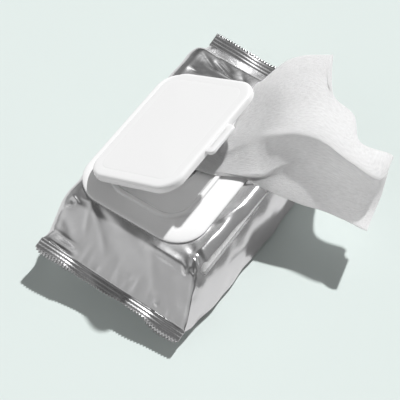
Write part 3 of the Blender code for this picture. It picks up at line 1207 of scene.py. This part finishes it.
@dataclass
class WipeStack:
    """The wipes still in the pack, each folded once and laid into the next from the other side."""

    length: float = 190.0
    width: float = 130.0
    count: int = 29
    leaf: float = 0.28
    pitch: float = 0.565
    bottom: float = 1.6
    centre_x: float = 3.0
    span: int = 3
    gap: float = 0.15
    wave: float = 0.06
    leaf_rows: int = 12
    bend_rows: int = 8
    columns: int = 27

    def folded(self, number: int) -> tuple[Array, Array]:
        """Middle surface of one wipe: two leaves joined by a half-round bend, with a slight product of sines.

        Args:
            number: Which wipe, from the top, starting with 0.

        Returns:
            Points across the fold by points along X, and their places on the flat cloth.
        """
        half = self.length / 4
        side = 1 if number % 2 == 0 else -1
        low = self.bottom + 2 * (self.count - 1 - number) * self.pitch + self.gap
        rise = self.span * self.pitch
        radius = rise / 2
        bend = half - radius - self.gap
        straight = np.linspace(-half + 1.0, bend, self.leaf_rows)
        angle = np.linspace(-math.pi / 2, math.pi / 2, self.bend_rows)[1:-1]
        y = np.concatenate([straight, bend + radius * np.cos(angle), straight[::-1]])
        level = np.zeros(self.leaf_rows)
        z = np.concatenate([low + level, low + radius + radius * np.sin(angle), low + rise + level])
        x = np.linspace(-self.width / 2, self.width / 2, self.columns) + self.centre_x
        grid_y, grid_x = np.meshgrid(side * y, x, indexing="ij")
        height = z[:, None] + self.wave * np.sin(grid_x * 0.21 + number) * np.cos(grid_y * 0.17 + 2 * number)
        reach = np.concatenate([[0], np.cumsum(np.hypot(np.diff(y), np.diff(z)))])
        flat = np.stack(np.meshgrid(reach, x, indexing="ij")[::-1], -1)
        return np.stack([grid_x, grid_y, height], -1), flat

    def build(self, finishes: Finishes) -> list[bpy.types.Object]:
        """Builds every folded wipe.

        Args:
            finishes: The materials.

        Returns:
            The wipes, from the top down.
        """
        made = []
        for number in range(self.count):
            points, flat = self.folded(number)
            name = f"wipe_in_pack_{number + 1:02d}"
            faces = grid_faces(points.shape[0], points.shape[1])
            piece = mesh_object(name, points, faces, finishes.cloth)
            lay_map(piece, flat)
            wall(piece, self.leaf, 0.0)
            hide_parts(f"folded_wipe_{number + 1:02d}")
            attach(piece, Body.PACK.value)
            made.append(piece)
        return made


@dataclass
class DrawnWipe:
    """The wipe drawn out through the opening.

    Its control rows run from the end that still lies on the stack, up through the opening in a bunch, over
    the front rim and out to the free edge. The hidden rows are straight, given as both ends' X, then Y and Z.
    Each shown row goes from the near side to the far side. A Catmull-Rom curve goes through the points both
    ways, pleats are a sine across the bunch that fades in and out along the wipe, and folds lift the cloth.
    """

    width: float = 130.0
    length: float = 190.0
    thickness: float = 0.35
    rows_out: int = 150
    columns: int = 150
    pleat: float = 0.35
    pleats: float = 5.0
    hidden: tuple[tuple[float, float, float, float], ...] = (
        (-60, 66, 2, 35.7), (-60, 66, 30, 35.8), (-60, 66, 46, 36.2), (-54, 60, 36, 37.0),
        (-22, 22, 14, 37.0), (-14, 17, 4, 40.6), (-10, 26, -6, 43.0),
    )
    shown: tuple[tuple[Triple, ...], ...] = (
        ((-7, -16, 42.5), (-6, -16, 42.5), (-4, -17, 43), (-2, -19, 43), (2, -17, 43), (7, -14, 43),
         (10, -12, 44), (16, -10, 44), (31, -8, 44), (45, -4, 44), (52, -2, 44), (59, 0, 44.5)),
        ((1, -30, 42), (1, -30, 42), (3, -31, 42), (4, -33, 42.5), (11, -27, 42.5), (18, -21, 43),
         (21, -18, 44), (28, -16, 44), (41, -12, 44), (54, -7, 45), (60, -5, 45.5), (66, -2, 45.5)),
        ((3, -39, 38.5), (5, -39, 39), (9, -40, 40), (11, -40, 41.5), (19, -34, 42), (26, -28, 43),
         (31, -24, 44), (37, -22, 44), (51, -16, 44.5), (64, -11, 47), (70, -7, 47), (75, -4, 47)),
        ((7, -52, 34.5), (11, -52, 36.5), (18, -50, 40), (20, -45, 44), (25, -41, 48), (30, -38, 52.5),
         (32, -36, 55), (40, -34, 53.5), (56, -25, 49.5), (71, -16, 48), (79, -12, 48), (86, -7, 48)),
        ((10, -66, 32.5), (15, -64, 36), (23, -62, 41.5), (28, -55, 47.5), (31, -51, 53), (34, -49, 58.5),
         (36, -47, 60.5), (44, -43, 58), (63, -32, 50.5), (80, -22, 47.5), (87, -17, 47.5), (95, -13, 48)),
        ((14, -80, 32), (19, -78, 36), (27, -76, 42), (32, -70, 49), (35, -66, 54), (37, -62, 59.5),
         (39, -61, 61.5), (50, -54, 58.5), (70, -41, 49.5), (86, -29, 46.5), (94, -25, 46.5),
         (101, -20, 47.5)),
        ((16, -95, 31.5), (22, -94, 35), (31, -91, 40.5), (34, -89, 45.5), (36, -86, 51), (37, -82, 56.5),
         (37, -81, 58.5), (50, -70, 55.5), (71, -53, 47), (86, -37, 44.5), (95, -30, 45.5), (105, -25, 47)),
        ((16, -104, 32), (26, -101, 34), (35, -100, 38.5), (38, -100, 42), (39, -100, 47), (39, -100, 52),
         (39, -100, 54.5), (54, -76, 52), (74, -60, 43.5), (80, -44, 43.5), (90, -35, 45),
         (107, -27, 46.5)),
        ((17, -108, 31.5), (30, -105, 31.5), (41, -103, 34.5), (45, -102, 38.5), (49, -101, 43),
         (55, -99, 47.5), (60, -97, 50), (58, -77, 49), (78, -61, 41.5), (82, -45, 42.5), (91, -37, 44.5),
         (108, -27, 46)),
    )
    folds: tuple[Crease, ...] = (
        Crease((3, -30, 42), (11, -40, 42), 0.9, 1.2),
        Crease((11, -40, 42), (20, -45, 44), 0.9, 1.2),
        Crease((20, -45, 44), (29, -56, 48), 0.9, 1.4),
        Crease((29, -56, 48), (36, -55, 57), 0.7, 1.4),
    )

    def control_net(self) -> Array:
        """Control points: straight rows for the hidden part, then the shown rows.

        Returns:
            Rows by points across by three.
        """
        across = len(self.shown[0])
        straight = [
            np.stack([np.linspace(x0, x1, across), np.full(across, y), np.full(across, z)], -1)
            for x0, x1, y, z in self.hidden
        ]
        return np.concatenate([np.stack(straight), np.array(self.shown, float)])

    def build(self, finishes: Finishes) -> bpy.types.Object:
        """Builds the drawn wipe.

        Args:
            finishes: The materials.

        Returns:
            The piece.
        """
        along = catmull_rom(self.control_net(), self.rows_out)
        points = catmull_rom(along.transpose(1, 0, 2), self.columns).transpose(1, 0, 2)
        v = np.linspace(0, 1, self.columns)[None, :]
        u = np.linspace(0, 1, self.rows_out)[:, None]
        pleat = self.pleat * smoothstep(u, 0.16, 0.26) * (1 - smoothstep(u, 0.34, 0.5))
        lift = pleat * np.sin(2 * math.pi * (self.pleats * v + 0.6 * np.sin(5 * u)))
        for fold in self.folds:
            lift = lift + fold.lift(points)
        points = points + surface_normals(points) * lift[..., None]
        piece = mesh_object("drawn_wipe", points, grid_faces(self.rows_out, self.columns), finishes.cloth)
        flat = np.stack(np.broadcast_arrays(v * self.width, u * self.length), -1)
        lay_map(piece, flat)
        wall(piece, self.thickness, 0.0)
        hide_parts("pulled_wipe")
        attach(piece, Body.PACK.value)
        return piece


# ------------------------------------------------------------------ studio


@dataclass(frozen=True)
class SoftBox:
    """A soft patch of light in the surroundings, which fades between two angles about a direction."""

    towards: Triple
    inner_deg: float
    outer_deg: float
    strength: float


@dataclass
class Studio:
    """Pale floor, one key light from the far end, soft surroundings and the camera.

    The floor's size is in metres, and everything else that is a length is in millimetres.
    """

    camera_place: Triple = (-458.2, -314.6, 830.2)
    camera_forward: Triple = (0.4566, 0.3126, -0.8330)
    camera_right: Triple = (0.5649, -0.8252, 0.0)
    camera_angle_deg: float = 14.127
    light_travel: Triple = (-0.85, 0.05, -1.0)
    light_strength: float = 3.55
    light_angle_deg: float = 2.0
    ambient: float = 0.12
    floor_colour: Colour = (0.690, 0.757, 0.735, 1.0)
    floor_tone: Colour = (0.76, 0.76, 0.76, 1.0)
    floor_size: float = 6.0
    floor_gap: float = 0.2
    backdrop: Colour = (0.79, 0.86, 0.84, 1.0)
    boxes: tuple[SoftBox, ...] = (
        SoftBox((-0.85, 0.25, 0.42), 20.0, 60.0, 0.50),
        SoftBox((-0.2, 0.9, 0.35), 15.0, 60.0, 0.34),
        SoftBox((0.45, -0.74, 0.48), 20.0, 50.0, 0.26),
    )

    def build_camera(self) -> None:
        """Makes the camera and gives it to the scene."""
        right = Vector(self.camera_right).normalized()
        forward = Vector(self.camera_forward).normalized()
        up = right.cross(forward).normalized()
        right = forward.cross(up)
        turn = Matrix((right, up, -forward)).transposed().to_4x4()
        data = bpy.data.cameras.new("camera")
        data.sensor_fit = "HORIZONTAL"
        data.angle = math.radians(self.camera_angle_deg)
        data.clip_end = 50.0
        camera = bpy.data.objects.new("camera", data)
        camera.matrix_world = Matrix.Translation(Vector(self.camera_place) * MM) @ turn
        bpy.context.scene.collection.objects.link(camera)
        bpy.context.scene.camera = camera

    def build_light(self) -> None:
        """Makes the key light, the only lamp."""
        data = bpy.data.lights.new("key", "SUN")
        data.energy = self.light_strength
        data.angle = math.radians(self.light_angle_deg)
        light = bpy.data.objects.new("key", data)
        light.rotation_euler = Vector(self.light_travel).to_track_quat("-Z", "Y").to_euler()
        light.location = (1.0, -0.1, 1.0)
        bpy.context.scene.collection.objects.link(light)

    def build_world(self) -> None:
        """Makes the soft surroundings: an even level plus soft boxes, and a plain backdrop for the camera."""
        world = bpy.data.worlds.new("studio")
        bpy.context.scene.world = world
        world.use_nodes = True
        nodes = Nodes(world.node_tree)
        nodes.tree.nodes.clear()
        direction = nodes.add("ShaderNodeTexCoord").outputs["Generated"]
        level = nodes.add("ShaderNodeValue").outputs[0]
        level.default_value = self.ambient
        for box in self.boxes:
            facing = nodes.add(
                "ShaderNodeVectorMath",
                {0: direction, 1: Vector(box.towards).normalized()},
                operation="DOT_PRODUCT",
            ).outputs["Value"]
            edge, full = (math.cos(math.radians(turn)) for turn in (box.outer_deg, box.inner_deg))
            ramp = nodes.add(
                "ShaderNodeMapRange",
                {"Value": facing, "From Min": edge, "From Max": full, "To Max": box.strength},
                interpolation_type="SMOOTHSTEP",
            )
            level = nodes.add("ShaderNodeMath", {0: level, 1: ramp.outputs[0]}).outputs[0]
        seen = nodes.add("ShaderNodeLightPath").outputs["Is Camera Ray"]
        soft = nodes.add("ShaderNodeBackground", {"Strength": level}).outputs[0]
        plain = nodes.add("ShaderNodeBackground", {"Color": self.backdrop}).outputs[0]
        mix = nodes.add("ShaderNodeMixShader", {0: seen, 1: soft, 2: plain})
        nodes.add("ShaderNodeOutputWorld", {0: mix.outputs[0]})

    def build_floor(self) -> None:
        """Makes the pale floor, whose tint shows to the camera only."""
        shader = Shader("floor")
        seen = shader.add("ShaderNodeLightPath").outputs["Is Camera Ray"]
        tones = {0: seen, 6: self.floor_tone, 7: self.floor_colour}
        tone = shader.add("ShaderNodeMix", tones, data_type="RGBA")
        shader.shade(Base_Color=tone.outputs[2], Roughness=0.9, Specular_IOR_Level=0.0)
        half = self.floor_size / 2
        mesh = bpy.data.meshes.new("floor")
        corners = [(-half, -half, 0), (half, -half, 0), (half, half, 0), (-half, half, 0)]
        mesh.from_pydata(corners, [], [(0, 1, 2, 3)])
        mesh.materials.append(shader.material)
        floor = bpy.data.objects.new("floor", mesh)
        floor.location.z = -self.floor_gap * MM
        bpy.context.scene.collection.objects.link(floor)

    def build(self) -> None:
        """Sets up everything around the pack."""
        self.build_camera()
        self.build_light()
        self.build_world()
        self.build_floor()
        bpy.context.scene.view_settings.view_transform = "Standard"


def corners(bounds: tuple[Vector, Vector]) -> list[list[float]]:
    """A box's two corners as plain lists."""
    return [[float(value) for value in corner] for corner in bounds]


def main() -> None:
    """Builds the studio and every piece."""
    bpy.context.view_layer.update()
    Studio().build()
    finishes = Finishes()
    pouch = FilmPouch()
    LOG.info("film: %s", pouch.build(finishes).name)
    LOG.info("seals: %s", [piece.name for piece in pouch.build_seals(finishes)])
    dispenser = Dispenser()
    for build in (dispenser.build_base, dispenser.build_lid, dispenser.build_hinge):
        LOG.info("dispenser: %s", build(finishes).name)
    LOG.info("stack: %d wipes", len(WipeStack().build(finishes)))
    LOG.info("drawn: %s", DrawnWipe().build(finishes).name)


if __name__ == "__main__":
    logging.basicConfig(level=logging.INFO)
    main()
